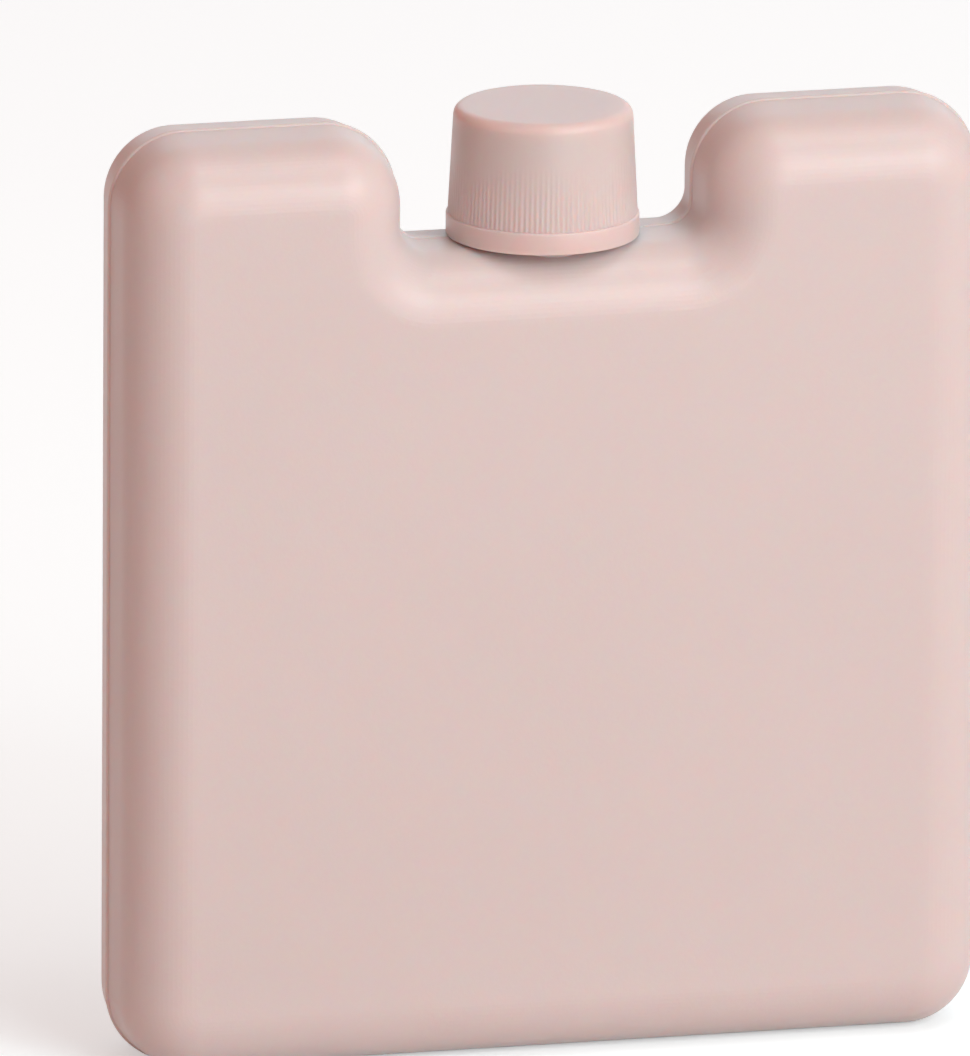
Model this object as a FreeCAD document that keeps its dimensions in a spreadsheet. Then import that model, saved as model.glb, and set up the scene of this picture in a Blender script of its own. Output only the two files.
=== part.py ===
import FreeCAD, Part
import math
import os

import Sketcher
from FreeCAD import Vector

# Reusable ice pack: a flat blow-moulded bottle with two shoulders and a neck in the notch between them, closed by a
# small screw cap with a knurled skirt. Millimetres. X runs across the pack, -Y is its front face, +Z is up, and the
# origin is under its middle, on the surface that it stands on.

os.makedirs("parts", exist_ok=True)
doc = FreeCAD.newDocument("ice_pack")

# Driving dimensions: alias, value in millimetres, degrees or a count, and what it sets.
DIMENSIONS = [
    ("pack_width", 100, "across the pack, at the parting line"),
    ("pack_height", 107.5, "from the foot to the shoulder tops, at the parting line"),
    ("pack_thickness", 22, "from front face to back face"),
    ("wall_draft", 5.5, "degrees that each half narrows away from the parting line"),
    ("face_blend", 7.4, "radius of the rounded edges and outer corners"),
    ("blend_share", 0.9, "the most of a half's thickness that the rounding may take"),
    ("notch_width", 34.4, "between the two shoulders"),
    ("notch_depth", 13.8, "from the shoulder tops to the floor of the notch"),
    ("notch_root", 2.8, "where a notch wall meets the floor"),
    ("foot_flat", 0.5, "how much of the underside is pressed flat to stand on"),
    ("seam_width", 0.7, "thickness of the parting line's bead"),
    ("seam_rise", 0.22, "how far the bead stands out of the walls"),
    ("seat_depth", 0.3, "how deep the flat ring round the neck is sunk below the parting line"),
    ("seat_margin", 0.5, "how far that ring reaches past the cap's collar"),
    ("neck_root", 4, "how far the neck reaches down through the curved floor"),
    ("thread_start", 1.6, "from the flat ring up to the thread"),
    ("thread_depth", 1, "how far the thread stands out from the plain foot of the neck"),
    ("neck_wall", 1.5, "wall of the neck, below its thread"),
    ("neck_bevel", 0.6, "bevels above and below the thread"),
    ("headspace", 5, "from the neck's mouth down to the coolant"),
    ("cap_inset", 0.1, "how far the collar stays behind the pack's faces, each side"),
    ("cap_height", 14.8, "from the collar's rim to the top"),
    ("cap_wall", 1.5, "top wall of the cap"),
    ("cap_edge", 1.2, "rounded edge round the cap's top"),
    ("cap_gap", 0.15, "between the collar's rim and the flat ring"),
    ("collar_height", 2.5, "height of the plain band at the bottom of the cap"),
    ("collar_edge", 0.1, "bevelled edges of the band"),
    ("ledge_width", 0.2, "how far the band stands out past the knurled skirt"),
    ("skirt_wall", 1.5, "wall of the skirt, where it leaves the band"),
    ("skirt_draft", 2.9, "degrees that the skirt narrows towards the top"),
    ("thread_clearance", 0.2, "between the neck and the cap, each side"),
    ("plug_clearance", 0.2, "between the ring-shaped plug and the neck's bore, each side"),
    ("plug_wall", 1.1, "wall of the plug"),
    ("plug_length", 2.5, "how far the plug reaches into the neck"),
    ("knurl_count", 112, "grooves round the skirt"),
    ("knurl_depth", 0.35, "depth of a groove, where it leaves the band"),
    ("knurl_mouth", 0.42, "width of a groove, where it leaves the band"),
]

# What follows from them: levels above the ground, radii about the neck's axis, and what corners leave room for.
DERIVED = [
    ("half_width", "Dims.pack_width / 2"),
    ("half_thickness", "Dims.pack_thickness / 2"),
    ("half_notch", "Dims.notch_width / 2"),
    ("blend_radius", "min(Dims.face_blend; half_thickness * Dims.blend_share)"),
    ("foot_cut", "Dims.foot_flat + 2 * Dims.seam_rise"),
    ("floor_level", "Dims.pack_height - Dims.notch_depth"),
    ("seat_level", "floor_level - Dims.seat_depth"),
    ("rim_level", "seat_level + Dims.cap_gap"),
    ("rim_bevel_level", "rim_level + Dims.collar_edge"),
    ("ledge_level", "rim_level + Dims.collar_height"),
    ("ledge_bevel_level", "ledge_level - Dims.collar_edge"),
    ("crown_level", "rim_level + Dims.cap_height"),
    ("ceiling_level", "crown_level - Dims.cap_wall"),
    ("root_level", "seat_level - Dims.neck_root"),
    ("thread_foot_level", "seat_level + Dims.thread_start"),
    ("thread_level", "thread_foot_level + Dims.neck_bevel"),
    ("bevel_level", "ceiling_level - Dims.neck_bevel"),
    ("plug_level", "ceiling_level - Dims.plug_length"),
    ("coolant_level", "ceiling_level - Dims.headspace"),
    ("collar_radius", "half_thickness - Dims.cap_inset"),
    ("collar_bevel_radius", "collar_radius - Dims.collar_edge"),
    ("seat_radius", "collar_radius + Dims.seat_margin"),
    ("skirt_radius", "collar_radius - Dims.ledge_width"),
    ("crown_radius", "skirt_radius - (Dims.cap_height - Dims.collar_height) * tan(Dims.skirt_draft)"),
    ("cap_bore_radius", "skirt_radius - Dims.skirt_wall"),
    ("thread_radius", "cap_bore_radius - Dims.thread_clearance"),
    ("mouth_radius", "thread_radius - Dims.neck_bevel"),
    ("neck_radius", "thread_radius - Dims.thread_depth"),
    ("neck_bore_radius", "neck_radius - Dims.neck_wall"),
    ("plug_radius", "neck_bore_radius - Dims.plug_clearance"),
    ("plug_bore_radius", "plug_radius - Dims.plug_wall"),
    ("knurl_root_radius", "skirt_radius - Dims.knurl_depth"),
    ("knurl_outside_radius", "skirt_radius + Dims.knurl_depth"),
    ("knurl_height", "Dims.cap_height - Dims.collar_height - Dims.cap_edge"),
]


def fill_sheet(name, cells):
    """A spreadsheet with one alias and its content on each row."""
    sheet = doc.addObject("Spreadsheet::Sheet", name)
    for row, (alias, content, *note) in enumerate(cells, start=1):
        sheet.set(f"A{row}", alias)
        sheet.set(f"B{row}", content)
        sheet.set(f"C{row}", "".join(note))
        sheet.setAlias(f"B{row}", alias)
    doc.recompute()
    return sheet


dims = fill_sheet("Dims", [(alias, str(value), note) for alias, value, note in DIMENSIONS])
derived = fill_sheet("Derived", [(alias, f"={rule}") for alias, rule in DERIVED])


def size(alias):
    """The value of a driving dimension."""
    return float(dims.get(alias))


def worked_out(alias):
    """A value that follows from the driving dimensions."""
    return float(derived.get(alias))


def new_body(name):
    """A PartDesign body whose label is its node's name."""
    body = doc.addObject("PartDesign::Body", name)
    body.Label = name
    return body


def origin_feature(body, role):
    """One of the body's own origin planes or axes."""
    for feature in body.Origin.OriginFeatures:
        if feature.Role == role:
            return feature


def new_sketch(body, name, role, lift=None):
    """A sketch on one of the body's origin planes, raised along its normal by an expression."""
    sketch = body.newObject("Sketcher::SketchObject", name)
    sketch.AttachmentSupport = [(origin_feature(body, role), "")]
    sketch.MapMode = "FlatFace"
    if lift:
        sketch.setExpression("AttachmentOffset.Base.z", lift)
    return sketch


def point(across, up):
    """A point in a sketch."""
    return Vector(across, up, 0)


def drive(sketch, kind, refs, name, expression, value):
    """A named constraint, bound to the sheet."""
    number = sketch.addConstraint(Sketcher.Constraint(kind, *refs, value))
    sketch.renameConstraint(number, name)
    sketch.setExpression(f"Constraints.{name}", expression)


# How a sketch refers to its origin, its axes and a line's ends.
ORIGIN = (-1, 1)
AXIS_ACROSS, AXIS_UP = -1, -2
START, END = 1, 2


def outline_sketch(body, name, rounding=0, grow=0, round_rule="", more="", less=""):
    """The pack seen from the front, at the parting line, larger all round by grow, with outer corners so rounded."""
    half = worked_out("half_width") + grow
    top = size("pack_height") + grow
    bottom = -size("foot_flat") - grow
    notch = worked_out("half_notch") - grow
    floor = worked_out("floor_level") + grow
    root = size("notch_root") - grow
    # Counter-clockwise from the right end of the underside.
    corners = [
        (point(half, bottom), rounding),
        (point(half, top), rounding),
        (point(notch, top), rounding),
        (point(notch, floor), root),
        (point(-notch, floor), root),
        (point(-notch, top), rounding),
        (point(-half, top), rounding),
        (point(-half, bottom), rounding),
    ]

    sketch = new_sketch(body, name, "XZ_Plane")
    lines = []
    arcs = {}
    for number, (corner, radius) in enumerate(corners):
        last, last_radius = corners[number - 1]
        following, _ = corners[(number + 1) % len(corners)]
        into = (corner - last).normalize()
        out = (following - corner).normalize()
        line = Part.LineSegment(last + into * last_radius, corner - into * radius)
        lines.append(sketch.addGeometry(line))
        if radius:
            outward = into.cross(out).z > 0
            begin = -out if outward else into
            angle = math.atan2(begin.y, begin.x)
            circle = Part.Circle(corner + (out - into) * radius, Vector(0, 0, 1), radius)
            arc = sketch.addGeometry(Part.ArcOfCircle(circle, angle, angle + math.pi / 2))
            arcs[number] = (arc, START, END) if outward else (arc, END, START)
    for number, line in enumerate(lines):
        sketch.addConstraint(Sketcher.Constraint("Vertical" if number % 2 else "Horizontal", line))
        following = lines[(number + 1) % len(lines)]
        if number in arcs:
            arc, into, out = arcs[number]
            sketch.addConstraint(Sketcher.Constraint("Tangent", line, END, arc, into))
            sketch.addConstraint(Sketcher.Constraint("Tangent", arc, out, following, START))
        else:
            sketch.addConstraint(Sketcher.Constraint("Coincident", line, END, following, START))

    roots = [arcs[3][0], arcs[4][0]]
    rounded = [arc for number, (arc, _, _) in arcs.items() if arc not in roots]
    for like in (roots, rounded):
        for arc in like[1:]:
            sketch.addConstraint(Sketcher.Constraint("Equal", like[0], arc))
    drive(sketch, "Radius", (roots[0],), "notch_root", f"Dims.notch_root{less}", root)
    if rounded:
        drive(sketch, "Radius", (rounded[0],), "corners", round_rule, rounding)
    side = f"Derived.half_width{more}"
    drive(sketch, "DistanceX", ORIGIN + (lines[1], START), "right_side", side, half)
    drive(sketch, "DistanceX", (lines[7], START) + ORIGIN, "left_side", side, half)
    wall = f"Derived.half_notch{less}"
    drive(sketch, "DistanceX", ORIGIN + (lines[3], START), "notch_right", wall, notch)
    drive(sketch, "DistanceX", (lines[5], START) + ORIGIN, "notch_left", wall, notch)
    crest = f"Dims.pack_height{more}"
    drive(sketch, "DistanceY", ORIGIN + (lines[2], START), "right_top", crest, top)
    drive(sketch, "DistanceY", ORIGIN + (lines[6], START), "left_top", crest, top)
    drive(sketch, "DistanceY", (lines[0], START) + ORIGIN, "underside", f"Dims.foot_flat{more}", -bottom)
    drive(sketch, "DistanceY", ORIGIN + (lines[4], START), "notch_floor", f"Derived.floor_level{more}", floor)
    return sketch


def polygon(sketch, corners):
    """A closed run of straight lines through the corners."""
    lines = []
    for here, following in zip(corners, corners[1:] + corners[:1]):
        lines.append(sketch.addGeometry(Part.LineSegment(point(*here), point(*following))))
    for line, following in zip(lines, lines[1:] + lines[:1]):
        sketch.addConstraint(Sketcher.Constraint("Coincident", line, END, following, START))
    return lines


def profile_sketch(body, name, corners):
    """A closed half profile for turning about Z: each corner names its radius, or None on the axis, and its level."""
    sketch = new_sketch(body, name, "XZ_Plane")
    places = [(worked_out(radius) if radius else 0, worked_out(level)) for radius, level in corners]
    lines = polygon(sketch, places)
    for number, (line, (radius, level), place) in enumerate(zip(lines, corners, places)):
        if radius:
            drive(sketch, "DistanceX", ORIGIN + (line, START), f"{radius}_{number}", f"Derived.{radius}", place[0])
        else:
            sketch.addConstraint(Sketcher.Constraint("PointOnObject", line, START, AXIS_UP))
        drive(sketch, "DistanceY", ORIGIN + (line, START), f"{level}_{number}", f"Derived.{level}", place[1])
    return sketch


def turn(body, kind, name, corners):
    """A turned feature: a half profile taken once round the body's Z axis."""
    feature = body.newObject(f"PartDesign::{kind}", name)
    feature.Profile = profile_sketch(body, f"{name}_profile", corners)
    feature.ReferenceAxis = (origin_feature(body, "Z_Axis"), [""])
    feature.Angle = 360
    doc.recompute()
    return feature


CLOSE = 0.01


def near(first, second):
    """Whether two lengths are the same, near enough."""
    return abs(first - second) < CLOSE


def side_walls(feature):
    """The faces of a front-to-back block that run round its outline."""
    names = []
    for number, face in enumerate(feature.Shape.Faces, start=1):
        if not near(abs(face.normalAt(0, 0).y), 1):
            names.append(f"Face{number}")
    return names


def edges_where(feature, test):
    """The names of the edges whose ends pass the test."""
    names = []
    for number, edge in enumerate(feature.Shape.Edges, start=1):
        if test([vertex.Point for vertex in edge.Vertexes]):
            names.append(f"Edge{number}")
    return names


def round_edges(body, name, feature, edges, radius_rule):
    """A fillet on some edges of the feature before it."""
    fillet = body.newObject("PartDesign::Fillet", name)
    fillet.Base = (feature, edges)
    fillet.setExpression("Radius", radius_rule)
    doc.recompute()
    return fillet


# Bottle: the front half is a drafted block with rounded edges, and the back half is its mirror image.
bottle = new_body("bottle_body")

front_block = bottle.newObject("PartDesign::Pad", "front_block")
front_block.Profile = outline_sketch(bottle, "front_outline")
front_block.setExpression("Length", "Derived.half_thickness")
doc.recompute()

front_draft = bottle.newObject("PartDesign::Draft", "front_draft")
doc.recompute()
front_draft.Base = (front_block, side_walls(front_block))
front_draft.NeutralPlane = (origin_feature(bottle, "XZ_Plane"), [""])
front_draft.setExpression("Angle", "Dims.wall_draft")
doc.recompute()

front_face = -worked_out("half_thickness")
half_width = worked_out("half_width")
crest = size("pack_height")


def to_be_rounded(ends):
    """Whether an edge bounds the front face, or runs back from one of its outer corners to the parting line."""
    outer = [near(end.y, front_face) or near(abs(end.x), half_width) or near(end.z, crest) for end in ends]
    return all(outer) and any(near(end.y, front_face) for end in ends)


round_edges(bottle, "front_blend", front_draft, edges_where(front_draft, to_be_rounded), "Derived.blend_radius")

back_half = bottle.newObject("PartDesign::Mirrored", "back_half")
back_half.TransformMode = "Whole shape"
back_half.MirrorPlane = (origin_feature(bottle, "XZ_Plane"), [""])
bottle.Tip = back_half
doc.recompute()

# The bead where the two halves of the mould met.
seam = bottle.newObject("PartDesign::Pad", "seam")
rise = size("seam_rise")
seam.Profile = outline_sketch(
    bottle,
    "seam_outline",
    worked_out("blend_radius") + rise,
    rise,
    "Derived.blend_radius + Dims.seam_rise",
    " + Dims.seam_rise",
    " - Dims.seam_rise",
)
seam.SideType = "Symmetric"
seam.setExpression("Length", "Dims.seam_width")
doc.recompute()

# The underside is pressed flat, and the bead with it, so that the pack stands.
foot_outline = new_sketch(bottle, "foot_outline", "XY_Plane")
deep = worked_out("half_thickness")
foot_lines = polygon(
    foot_outline,
    [(-half_width, -deep), (half_width, -deep), (half_width, deep), (-half_width, deep)],
)
for line, way in zip(foot_lines, ("Horizontal", "Vertical") * 2):
    foot_outline.addConstraint(Sketcher.Constraint(way, line))
foot_outline.addConstraint(Sketcher.Constraint("Symmetric", foot_lines[0], START, foot_lines[2], START, *ORIGIN))
drive(foot_outline, "DistanceX", (foot_lines[0], START, foot_lines[0], END), "width", "Dims.pack_width", 2 * half_width)
drive(foot_outline, "DistanceY", (foot_lines[1], START, foot_lines[1], END), "depth", "Dims.pack_thickness", 2 * deep)
foot = bottle.newObject("PartDesign::Pocket", "foot")
foot.Profile = foot_outline
foot.setExpression("Length", "Derived.foot_cut")
doc.recompute()

# A flat ring is sunk into the floor of the notch, and the neck rises from it.
turn(
    bottle,
    "Groove",
    "seat",
    [
        (None, "seat_level"),
        ("seat_radius", "seat_level"),
        ("seat_radius", "ledge_level"),
        (None, "ledge_level"),
    ],
)
turn(
    bottle,
    "Revolution",
    "neck",
    [
        (None, "root_level"),
        ("neck_radius", "root_level"),
        ("neck_radius", "thread_foot_level"),
        ("thread_radius", "thread_level"),
        ("thread_radius", "bevel_level"),
        ("mouth_radius", "ceiling_level"),
        ("neck_bore_radius", "ceiling_level"),
        ("neck_bore_radius", "coolant_level"),
        (None, "coolant_level"),
    ],
)

# Cap: one turned piece. Its ceiling rests on the neck's mouth and its plug reaches into the bore.
cap = new_body("screw_cap")
cap_shell = turn(
    cap,
    "Revolution",
    "cap_shell",
    [
        ("cap_bore_radius", "rim_level"),
        ("collar_bevel_radius", "rim_level"),
        ("collar_radius", "rim_bevel_level"),
        ("collar_radius", "ledge_bevel_level"),
        ("collar_bevel_radius", "ledge_level"),
        ("skirt_radius", "ledge_level"),
        ("crown_radius", "crown_level"),
        (None, "crown_level"),
        (None, "ceiling_level"),
        ("plug_bore_radius", "ceiling_level"),
        ("plug_bore_radius", "plug_level"),
        ("plug_radius", "plug_level"),
        ("plug_radius", "ceiling_level"),
        ("cap_bore_radius", "ceiling_level"),
    ],
)
crown_level = worked_out("crown_level")
crown_edge = edges_where(cap_shell, lambda ends: all(near(end.z, crown_level) for end in ends))
round_edges(cap, "crown", cap_shell, crown_edge, "Dims.cap_edge")

# One upright groove of the knurling. The skirt narrows towards the top, so the groove runs out below the crown.
knurl_outline = new_sketch(cap, "knurl_outline", "XY_Plane", "Derived.ledge_level")
root = worked_out("knurl_root_radius")
outside = worked_out("knurl_outside_radius")
spread = size("knurl_mouth")
knurl_lines = polygon(knurl_outline, [(root, 0), (outside, -spread), (outside, spread)])
knurl_outline.addConstraint(Sketcher.Constraint("PointOnObject", knurl_lines[0], START, AXIS_ACROSS))
knurl_outline.addConstraint(Sketcher.Constraint("Vertical", knurl_lines[1]))
drive(knurl_outline, "DistanceX", ORIGIN + (knurl_lines[0], START), "root", "Derived.knurl_root_radius", root)
drive(knurl_outline, "DistanceX", ORIGIN + (knurl_lines[1], START), "outside", "Derived.knurl_outside_radius", outside)
drive(knurl_outline, "DistanceY", (knurl_lines[1], START) + ORIGIN, "lower_side", "Dims.knurl_mouth", spread)
drive(knurl_outline, "DistanceY", ORIGIN + (knurl_lines[2], START), "upper_side", "Dims.knurl_mouth", spread)
knurl = cap.newObject("PartDesign::Pocket", "knurl")
knurl.Profile = knurl_outline
knurl.Reversed = True
knurl.setExpression("Length", "Derived.knurl_height")
doc.recompute()

knurling = cap.newObject("PartDesign::PolarPattern", "knurling")
knurling.Originals = [knurl]
knurling.Axis = (origin_feature(cap, "Z_Axis"), [""])
knurling.Angle = 360
knurling.setExpression("Occurrences", "Dims.knurl_count")
cap.Tip = knurling
doc.recompute()

for item in doc.Objects:
    if "Invalid" in item.State or "Error" in item.State:
        raise RuntimeError(f"{item.Name} did not build: {item.State}")
for piece in (bottle, cap):
    if piece.Shape.isNull() or not piece.Shape.isValid():
        raise RuntimeError(f"{piece.Label} has no valid shape")
    piece.Shape.exportStep(f"parts/{piece.Label}.step")
    print(piece.Label, "solids", len(piece.Shape.Solids), "volume in ml", round(piece.Shape.Volume / 1000, 2))
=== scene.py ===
import math

import bmesh
import bpy
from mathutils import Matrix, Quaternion, Vector


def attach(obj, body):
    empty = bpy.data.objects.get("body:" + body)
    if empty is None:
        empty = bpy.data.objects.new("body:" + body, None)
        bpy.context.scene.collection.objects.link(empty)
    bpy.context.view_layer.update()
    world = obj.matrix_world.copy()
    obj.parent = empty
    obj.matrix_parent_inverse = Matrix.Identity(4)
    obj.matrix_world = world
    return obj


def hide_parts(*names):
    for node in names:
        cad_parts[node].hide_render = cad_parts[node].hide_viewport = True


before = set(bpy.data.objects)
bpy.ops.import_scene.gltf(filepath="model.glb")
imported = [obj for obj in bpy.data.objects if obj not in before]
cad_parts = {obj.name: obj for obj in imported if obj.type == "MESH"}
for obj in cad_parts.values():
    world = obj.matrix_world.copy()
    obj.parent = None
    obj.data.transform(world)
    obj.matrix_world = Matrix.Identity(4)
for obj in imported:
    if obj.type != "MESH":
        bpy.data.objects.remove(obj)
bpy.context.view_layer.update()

# Bottle: a flat bottle blown from tinted polyethylene, satin outside, filled and sealed at the factory.
# Each half comes out of its half of the mould, so the walls narrow away from the parting line, where the
# halves left a fine bead. The underside is pressed flat, and a ring round the neck is sunk for the cap.
mm = 0.001
pack_width, pack_height, pack_thickness = 100 * mm, 107.5 * mm, 22 * mm
foot_depth = 0.5 * mm
notch_width, notch_depth, notch_root = 34.4 * mm, 13.8 * mm, 2.8 * mm
draft, blend = math.radians(5.5), 7.4 * mm
bead_half_width, bead_rise = 0.35 * mm, 0.22 * mm
seat_depth, seat_radius, seat_step = 0.3 * mm, 11 * mm, 0.05 * mm
neck_radius, thread_radius, neck_bore_radius, hub_radius = 7.2 * mm, 9 * mm, 6.5 * mm, 0.5 * mm
neck_root, neck_height, neck_bevel, thread_start = 4 * mm, 13.45 * mm, 0.6 * mm, 1.6 * mm
headspace = 5 * mm
corner_steps, root_steps, bead_steps, blend_steps, neck_sides = 20, 30, 5, 20, 128
face_corner, flat_ring = 0.7 * mm, 0.3 * mm
seat_reach, near, weld, straight_down = 2 * mm, 1 * mm, 0.01 * mm, -0.9999
cuts_across = (-34, -26, -16, -8, 0, 8, 16, 26, 34)
cuts_up = (9, 20, 31, 42, 53, 64, 75, 85)
smooth_below = math.radians(32)


def start(primitive, name, **how):
    """Adds a primitive as a piece of its own and opens it in edit mode with everything selected."""
    bpy.ops.object.select_all(action="DESELECT")
    primitive(**how)
    piece = bpy.context.object
    piece.name = name
    bpy.ops.object.transform_apply(location=True, rotation=True, scale=True)
    bpy.ops.object.mode_set(mode="EDIT")
    bpy.ops.mesh.select_all(action="SELECT")
    return piece


def choose(piece, kind, test):
    """Selects, in edit mode, the verts, edges or faces that pass a test of their middle and the item."""
    bpy.ops.mesh.select_mode(type={"verts": "VERT", "edges": "EDGE", "faces": "FACE"}[kind])
    bpy.ops.mesh.select_all(action="DESELECT")
    mesh = bmesh.from_edit_mesh(piece.data)
    for item in getattr(mesh, kind):
        if kind == "verts":
            middle = item.co
        elif kind == "edges":
            middle = (item.verts[0].co + item.verts[1].co) / 2
        else:
            middle = item.calc_center_median()
        if test(middle, item):
            item.select_set(True)
    mesh.select_flush_mode()
    bmesh.update_edit_mesh(piece.data)


bottle_low, bottle_high = -foot_depth - bead_rise, pack_height + bead_rise
middle_level = (bottle_low + bottle_high) / 2
half_width, half_notch = pack_width / 2 + bead_rise, notch_width / 2 - bead_rise
floor_level = pack_height - notch_depth + bead_rise
bottle = start(
    bpy.ops.mesh.primitive_plane_add,
    "bottle",
    size=1,
    location=(0, 0, middle_level),
    rotation=(math.pi / 2, 0, 0),
)
bpy.ops.transform.resize(
    value=(2 * half_width, 1, bottle_high - bottle_low), center_override=(0, 0, middle_level)
)
for side in (-half_notch, half_notch):
    bpy.ops.mesh.select_all(action="SELECT")
    bpy.ops.mesh.bisect(plane_co=(side, 0, 0), plane_no=(1, 0, 0))
bpy.ops.mesh.select_all(action="SELECT")
bpy.ops.mesh.bisect(plane_co=(0, 0, floor_level), plane_no=(0, 0, 1))
choose(bottle, "faces", lambda spot, item: abs(spot.x) < half_notch and spot.z > floor_level)
bpy.ops.mesh.delete(type="FACE")
bpy.ops.mesh.select_all(action="SELECT")
bpy.ops.mesh.dissolve_limited(angle_limit=math.radians(1))

# The corners end in a small radius at the face. At the bead they are rounder by what the walls draw in.
ball_depth = pack_thickness / 2 - blend
wall_depth = ball_depth + blend * math.sin(draft)
wall_inset = wall_depth * math.tan(draft)
face_inset = wall_inset + blend * math.cos(draft)
choose(bottle, "verts", lambda spot, item: abs(spot.x) > half_width - near or spot.z > bottle_high - near)
bpy.ops.mesh.bevel(offset=face_inset + bead_rise + face_corner, segments=corner_steps, affect="VERTICES")
root = notch_root - bead_rise
choose(
    bottle,
    "verts",
    lambda spot, item: abs(spot.x) < half_notch + near and abs(spot.z - floor_level) < root / 2,
)
bpy.ops.mesh.bevel(offset=root, segments=root_steps, affect="VERTICES")

# Half the bottle is drawn up from its outline ring by ring: bead, drafted wall, then rounded edge.
rings = []
for step in range(1, bead_steps + 1):
    turn = math.pi / 2 * step / bead_steps
    depth = bead_half_width * math.sin(turn)
    rings.append((bead_rise * (1 - math.cos(turn)) + depth * math.tan(draft), depth))
for step in range(blend_steps + 1):
    turn = draft + (math.pi / 2 - draft) * step / blend_steps
    depth = ball_depth + blend * math.sin(turn)
    rings.append((bead_rise + face_inset - blend * math.cos(turn), depth))
choose(bottle, "faces", lambda spot, item: True)
bpy.ops.mesh.normals_make_consistent(inside=False)
mesh = bmesh.from_edit_mesh(bottle.data)
mesh.faces.ensure_lookup_table()
if mesh.faces[0].normal.y > 0:
    bpy.ops.mesh.flip_normals()
inset_so_far, depth_so_far = 0, 0
for inset, depth in rings:
    bpy.ops.mesh.inset(
        thickness=inset - inset_so_far, depth=depth - depth_so_far, use_boundary=True, use_even_offset=True
    )
    inset_so_far, depth_so_far = inset, depth
bpy.ops.mesh.select_all(action="SELECT")
bpy.ops.mesh.remove_doubles(threshold=weld)

# The flat face is levelled and set off by a narrow ring. Cuts clear of the corners keep its cells small.
choose(bottle, "verts", lambda spot, item: spot.y < weld - pack_thickness / 2)
bpy.ops.transform.resize(value=(1, 0, 1), center_override=(0, -pack_thickness / 2, 0))
choose(bottle, "faces", lambda spot, item: spot.y < weld - pack_thickness / 2)
bpy.ops.mesh.inset(thickness=flat_ring, depth=0, use_even_offset=True)
for way, cuts in ((Vector((1, 0, 0)), cuts_across), (Vector((0, 0, 1)), cuts_up)):
    for cut in cuts:
        bpy.ops.mesh.select_all(action="SELECT")
        bpy.ops.mesh.bisect(plane_co=way * cut * mm, plane_no=way, threshold=weld / 10)
bpy.ops.object.mode_set(mode="OBJECT")
mirror = bottle.modifiers.new("other half", "MIRROR")
mirror.use_axis = (False, True, False)
mirror.use_clip = True
mirror.merge_threshold = weld
bpy.ops.object.modifier_apply(modifier=mirror.name)

bpy.ops.object.mode_set(mode="EDIT")
bpy.ops.mesh.select_all(action="SELECT")
bpy.ops.mesh.bisect(
    plane_co=(0, 0, 0), plane_no=(0, 0, 1), use_fill=True, clear_inner=True, threshold=weld / 10
)
choose(bottle, "faces", lambda spot, item: item.normal.z < straight_down)
bpy.ops.mesh.inset(thickness=flat_ring, depth=0)

# The sunk ring: the floor of the notch is cut across on both sides of the neck and let down between
# the cuts.
seat_level = pack_height - notch_depth - seat_depth
for cut in (seat_radius, seat_radius - seat_step):
    for side in (-cut, cut):
        choose(
            bottle,
            "faces",
            lambda spot, item: abs(spot.x) < seat_radius and spot.z > seat_level - seat_reach,
        )
        bpy.ops.mesh.bisect(plane_co=(side, 0, 0), plane_no=(1, 0, 0), threshold=weld / 10)
inside = seat_radius - seat_step / 2
choose(
    bottle,
    "verts",
    lambda spot, item: abs(spot.x) < inside and seat_level < spot.z < seat_level + near,
)
bpy.ops.transform.resize(value=(1, 1, 0), center_override=(0, 0, seat_level))
bpy.ops.object.mode_set(mode="OBJECT")


def turn_up(piece, corners):
    """Extrudes the selected ring of edges from corner to corner of a profile of radii and levels."""
    for radius, level in corners:
        mesh = bmesh.from_edit_mesh(piece.data)
        spot = next(vert.co for vert in mesh.verts if vert.select)
        last_level = spot.z
        scale = radius / spot.xy.length
        bpy.ops.mesh.extrude_region_move()
        bpy.ops.transform.resize(value=(scale, scale, 1), center_override=(0, 0, 0))
        bpy.ops.transform.translate(value=(0, 0, level - last_level))


# The neck stands in the ring: a plain foot, a wider threaded length and an open mouth, all inside the cap.
mouth_level = seat_level + neck_height
neck = start(
    bpy.ops.mesh.primitive_circle_add,
    "neck",
    vertices=neck_sides,
    radius=neck_radius,
    location=(0, 0, seat_level - neck_root),
    fill_type="NGON",
)
bpy.ops.mesh.select_mode(type="EDGE")
turn_up(
    neck,
    [
        (neck_radius, seat_level + thread_start),
        (thread_radius, seat_level + thread_start + neck_bevel),
        (thread_radius, mouth_level - neck_bevel),
        (thread_radius - neck_bevel, mouth_level),
        (neck_bore_radius, mouth_level),
        (neck_bore_radius, mouth_level - headspace),
        (hub_radius, mouth_level - headspace),
    ],
)
bpy.ops.mesh.edge_face_add()
bpy.ops.mesh.select_all(action="SELECT")
bpy.ops.mesh.normals_make_consistent(inside=False)
bpy.ops.object.mode_set(mode="OBJECT")
bpy.context.view_layer.objects.active = bottle
union = bottle.modifiers.new("neck", "BOOLEAN")
union.operation, union.solver, union.object = "UNION", "EXACT", neck
bpy.ops.object.modifier_apply(modifier=union.name)
bpy.data.objects.remove(neck)
bpy.ops.object.shade_smooth_by_angle(angle=smooth_below)


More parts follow.
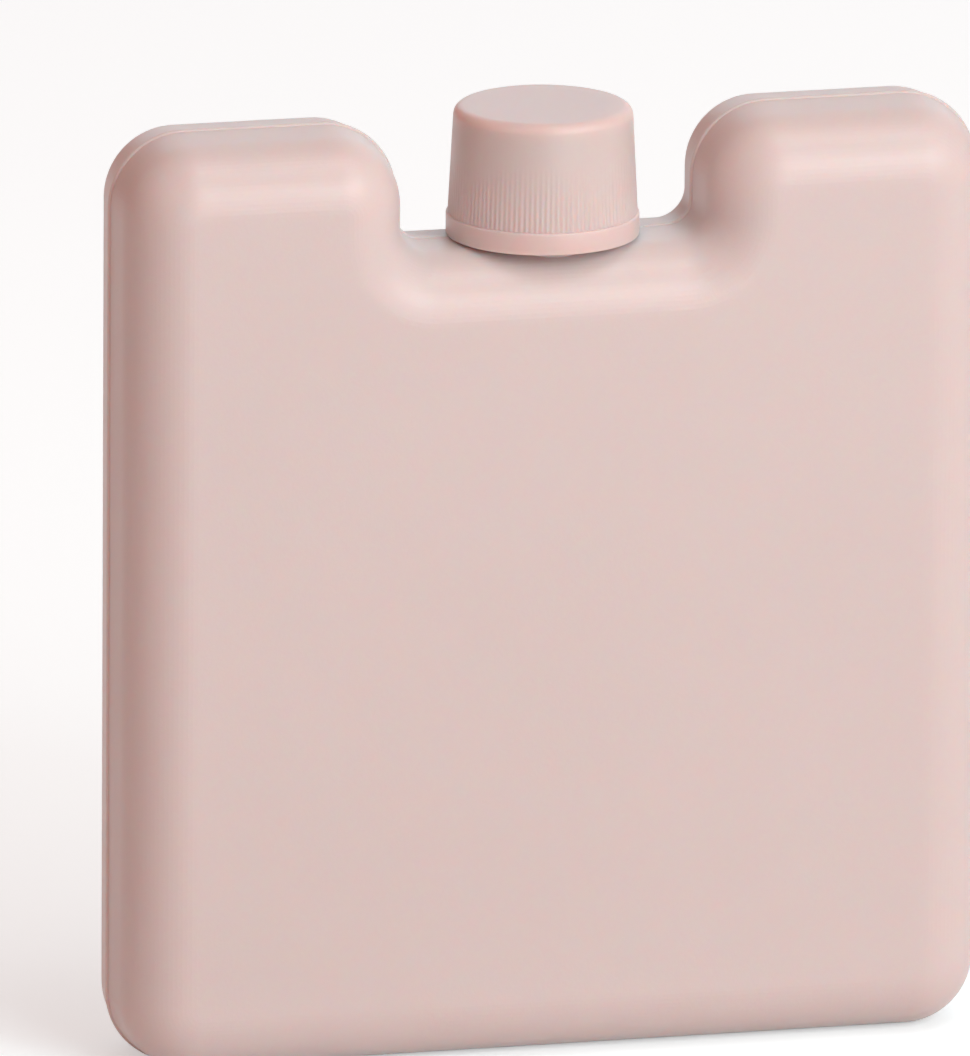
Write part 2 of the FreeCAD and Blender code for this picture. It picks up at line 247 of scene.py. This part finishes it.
def satin(name, dark, light, roughness, grain_scale, grain):
    """Moulded plastic: colour that drifts a little, a fine even grain and slow, shallow ripples."""
    drift_scale, ripple_scale, ripple = 28, 90, 0.25
    ripple_height, grain_height = 0.1 * mm, 0.04 * mm
    scatter_share, scatter_reach, scatter_tint = 0.8, 5 * mm, (1.0, 0.3, 0.2)
    material = bpy.data.materials.new(name)
    material.use_nodes = True
    nodes, links = material.node_tree.nodes, material.node_tree.links
    shader = nodes["Principled BSDF"]
    shader.inputs["IOR"].default_value = 1.5
    shader.inputs["Subsurface Weight"].default_value = scatter_share
    shader.inputs["Subsurface Radius"].default_value = scatter_tint
    shader.inputs["Subsurface Scale"].default_value = scatter_reach
    place = nodes.new("ShaderNodeTexCoord").outputs["Object"]

    def noise(scale, detail):
        texture = nodes.new("ShaderNodeTexNoise")
        texture.inputs["Scale"].default_value = scale
        texture.inputs["Detail"].default_value = detail
        links.new(place, texture.inputs["Vector"])
        return texture.outputs["Fac"]

    def relief(height, strength, distance):
        bump = nodes.new("ShaderNodeBump")
        bump.inputs["Strength"].default_value = strength
        bump.inputs["Distance"].default_value = distance
        links.new(height, bump.inputs["Height"])
        return bump

    drift = noise(drift_scale, 3)
    tint = nodes.new("ShaderNodeMix")
    tint.data_type = "RGBA"
    tint.inputs["A"].default_value = (*dark, 1)
    tint.inputs["B"].default_value = (*light, 1)
    links.new(drift, tint.inputs["Factor"])
    links.new(tint.outputs["Result"], shader.inputs["Base Color"])

    gloss = nodes.new("ShaderNodeMapRange")
    gloss.inputs["To Min"].default_value, gloss.inputs["To Max"].default_value = roughness
    links.new(drift, gloss.inputs["Value"])
    links.new(gloss.outputs["Result"], shader.inputs["Roughness"])

    swell = relief(noise(ripple_scale, 1), ripple, ripple_height)
    skin = relief(noise(grain_scale, 2), grain, grain_height)
    links.new(swell.outputs["Normal"], skin.inputs["Normal"])
    links.new(skin.outputs["Normal"], shader.inputs["Normal"])
    return material


bottle.data.materials.append(
    satin(
        "satin polyethylene",
        dark=(0.63, 0.57, 0.565),
        light=(0.65, 0.59, 0.585),
        roughness=(0.34, 0.4),
        grain_scale=2600,
        grain=0.25,
    )
)
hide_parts("bottle_body")
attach(bottle, "root")

# Screw cap: one injection moulding in the same colour, a little smoother than the bottle. It has a plain
# collar with a narrow ledge, a skirt with fine upright grooves that tapers to a rounded crown, and a ring
# that plugs the neck. It is screwed down until its ceiling meets the neck's mouth.
knurl_count, columns_a_groove = 112, 6
collar_height, cap_height, cap_wall = 2.5 * mm, 14.8 * mm, 1.5 * mm
cap_bore_radius, collar_radius, skirt_radius = 9.2 * mm, 10.9 * mm, 10.7 * mm
plug_radius, plug_bore_radius, plug_length = 6.3 * mm, 5.2 * mm, 2.5 * mm
skirt_draft, crown_edge, collar_edge, crown_ring = math.radians(2.9), 1.2 * mm, 0.18 * mm, 0.3 * mm
groove_depth, groove_height = 0.11 * mm, 7.5 * mm
skirt_rings, crown_steps, collar_steps = 18, 10, 3
rim_level = mouth_level + cap_wall - cap_height
ledge_level, crown_level = rim_level + collar_height, rim_level + cap_height
ceiling_level = crown_level - cap_wall
plug_level = ceiling_level - plug_length


def skirt_at(level):
    """Radius of the skirt between its grooves."""
    return skirt_radius - (level - ledge_level) * math.tan(skirt_draft)


def rounded(radius, level, edge, first, last, steps):
    """Corners of a rounded edge about a centre, between two angles above the horizontal."""
    turns = [first + (last - first) * step / steps for step in range(steps + 1)]
    return [(radius + edge * math.cos(turn), level + edge * math.sin(turn)) for turn in turns]


crown_centre_level = crown_level - crown_edge
crown_foot_level = crown_centre_level + crown_edge * math.sin(skirt_draft)
crown_centre = skirt_at(crown_foot_level) - crown_edge * math.cos(skirt_draft)
climb = (crown_foot_level - ledge_level) / skirt_rings
skirt_levels = [ledge_level + climb * ring for ring in range(skirt_rings)]
quarter = math.pi / 2
cap = start(
    bpy.ops.mesh.primitive_circle_add,
    "cap",
    vertices=knurl_count * columns_a_groove,
    radius=cap_bore_radius,
    location=(0, 0, rim_level),
)
bpy.ops.mesh.select_mode(type="EDGE")
collar_centre = collar_radius - collar_edge
turn_up(
    cap,
    [
        *rounded(collar_centre, rim_level + collar_edge, collar_edge, -quarter, 0, collar_steps),
        *rounded(collar_centre, ledge_level - collar_edge, collar_edge, 0, quarter, collar_steps),
        *[(skirt_at(level), level) for level in skirt_levels],
        *rounded(crown_centre, crown_centre_level, crown_edge, skirt_draft, quarter, crown_steps),
        (crown_centre - crown_ring, crown_level),
        (hub_radius, crown_level),
    ],
)
bpy.ops.mesh.edge_face_add()
rim_top, rim_reach = rim_level + weld, cap_bore_radius + weld
choose(cap, "edges", lambda spot, item: spot.z < rim_top and spot.xy.length < rim_reach)
turn_up(
    cap,
    [
        (cap_bore_radius, ceiling_level),
        (plug_radius, ceiling_level),
        (plug_radius, plug_level),
        (plug_bore_radius, plug_level),
        (plug_bore_radius, ceiling_level),
        (hub_radius, ceiling_level),
    ],
)
bpy.ops.mesh.edge_face_add()
mesh = bmesh.from_edit_mesh(cap.data)
for vert in mesh.verts:
    radius, level = vert.co.xy.length, vert.co.z
    on_skirt = level > ledge_level - weld and abs(radius - skirt_at(level)) < weld
    wave = (1 + math.cos(knurl_count * math.atan2(vert.co.y, vert.co.x))) / 2
    fade = 1 - (level - ledge_level) / groove_height
    if on_skirt and fade > 0:
        vert.co.xy *= 1 - groove_depth * fade * wave / radius
bmesh.update_edit_mesh(cap.data)
bpy.ops.mesh.select_all(action="SELECT")
bpy.ops.mesh.normals_make_consistent(inside=False)
bpy.ops.object.mode_set(mode="OBJECT")
bpy.ops.object.shade_smooth_by_angle(angle=smooth_below)
cap.data.materials.append(
    satin(
        "smooth polypropylene",
        dark=(0.66, 0.54, 0.53),
        light=(0.68, 0.56, 0.55),
        roughness=(0.32, 0.38),
        grain_scale=3200,
        grain=0.15,
    )
)
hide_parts("screw_cap")
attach(cap, "root")

# Floor: a plain white surface that takes a faint shadow. Where it is seen it is lifted, and cooled a little
# against the warm surround, so that it shows white.
floor_size, floor_roughness, floor_sheen, floor_lift = 6, 0.9, 0.1, 0.42
bounced_colour, seen_colour = (0.76, 0.67, 0.65, 1), (0.68, 0.8, 0.83, 1)
floor = start(bpy.ops.mesh.primitive_plane_add, "floor", size=floor_size, location=(0, 0, 0))
bpy.ops.object.mode_set(mode="OBJECT")
floor_material = bpy.data.materials.new("white floor")
floor_material.use_nodes = True
nodes, links = floor_material.node_tree.nodes, floor_material.node_tree.links
floor_shader = nodes["Principled BSDF"]
floor_shader.inputs["Roughness"].default_value = floor_roughness
floor_shader.inputs["Specular IOR Level"].default_value = floor_sheen
floor_shader.inputs["Emission Color"].default_value = (1, 1, 1, 1)
rays = nodes.new("ShaderNodeLightPath").outputs
seen = rays["Is Camera Ray"]
for ray in ("Is Glossy Ray", "Is Transmission Ray"):
    either = nodes.new("ShaderNodeMath")
    either.operation = "MAXIMUM"
    links.new(seen, either.inputs[0])
    links.new(rays[ray], either.inputs[1])
    seen = either.outputs[0]
lift = nodes.new("ShaderNodeMath")
lift.operation = "MULTIPLY"
lift.inputs[1].default_value = floor_lift
links.new(seen, lift.inputs[0])
links.new(lift.outputs[0], floor_shader.inputs["Emission Strength"])
shade = nodes.new("ShaderNodeMix")
shade.data_type = "RGBA"
shade.inputs["A"].default_value = bounced_colour
shade.inputs["B"].default_value = seen_colour
links.new(seen, shade.inputs["Factor"])
links.new(shade.outputs["Result"], floor_shader.inputs["Base Color"])
floor.data.materials.append(floor_material)

# Light: one soft box overhead and one in front give the two bright lines along the rounded shoulders. A
# low one lights the lower edge, a wide one fills in from the right, and a cool one behind gives the sheen
# on the tops. A faint warm surround leaves the left wall the darkest.
aim = Vector((0, 0, 0.055))
surround_colour, surround_strength = (1, 0.57, 0.48, 1), 0.5
for name, place, size, watts, colour in (
    ("overhead", (0.28, -0.31, 1.2), (0.5, 0.5), 2.7, (0.93, 1, 1)),
    ("front", (0.27, -0.7, 0.456), (0.4, 0.4), 2.5, (0.93, 1, 1)),
    ("low", (0.3, -1.4, 0.15), (0.8, 0.2), 2.6, (0.93, 1, 1)),
    ("right", (1.3, -1.4, 1.2), (1.2, 1.2), 11.5, (0.93, 1, 1)),
    ("behind", (0.6, 1.6, 0.85), (1.8, 1.5), 8.5, (0.5, 0.88, 1)),
):
    lamp_data = bpy.data.lights.new(name, "AREA")
    lamp_data.shape, lamp_data.energy, lamp_data.color = "RECTANGLE", watts, colour
    lamp_data.size, lamp_data.size_y = size
    lamp = bpy.data.objects.new(name, lamp_data)
    lamp.location = place
    lamp.rotation_mode = "QUATERNION"
    lamp.rotation_quaternion = (aim - Vector(place)).to_track_quat("-Z", "Y")
    bpy.context.scene.collection.objects.link(lamp)
world = bpy.data.worlds.new("surround")
world.use_nodes = True
surround = world.node_tree.nodes["Background"]
surround.inputs["Color"].default_value = surround_colour
surround.inputs["Strength"].default_value = surround_strength
bpy.context.scene.world = world

# Camera: far off, with a long lens, above and to the left of the front face.
camera_turn, camera_rise, camera_roll = math.radians(13.95), math.radians(14.95), math.radians(0.37)
camera_distance, pixels_per_metre, image_height = 3.3, 8833, 1056
middle_across, middle_up = -6.245 * mm, 57.06 * mm
sensor_width, nearest, farthest = 36, 0.1, 20
back = Vector(
    (
        -math.sin(camera_turn) * math.cos(camera_rise),
        -math.cos(camera_turn) * math.cos(camera_rise),
        math.sin(camera_rise),
    )
)
across = Vector((math.cos(camera_turn), -math.sin(camera_turn), 0))
camera_data = bpy.data.cameras.new("camera")
camera = bpy.data.objects.new("camera", camera_data)
bpy.context.scene.collection.objects.link(camera)
camera.location = across * middle_across + back.cross(across) * middle_up + back * camera_distance
camera.rotation_mode = "QUATERNION"
camera.rotation_quaternion = (-back).to_track_quat("-Z", "Y") @ Quaternion((0, 0, 1), camera_roll)
camera_data.sensor_width = sensor_width
camera_data.lens = pixels_per_metre * camera_distance / image_height * sensor_width
camera_data.clip_start, camera_data.clip_end = nearest, farthest
bpy.context.scene.camera = camera
bpy.context.scene.view_settings.view_transform = "Standard"
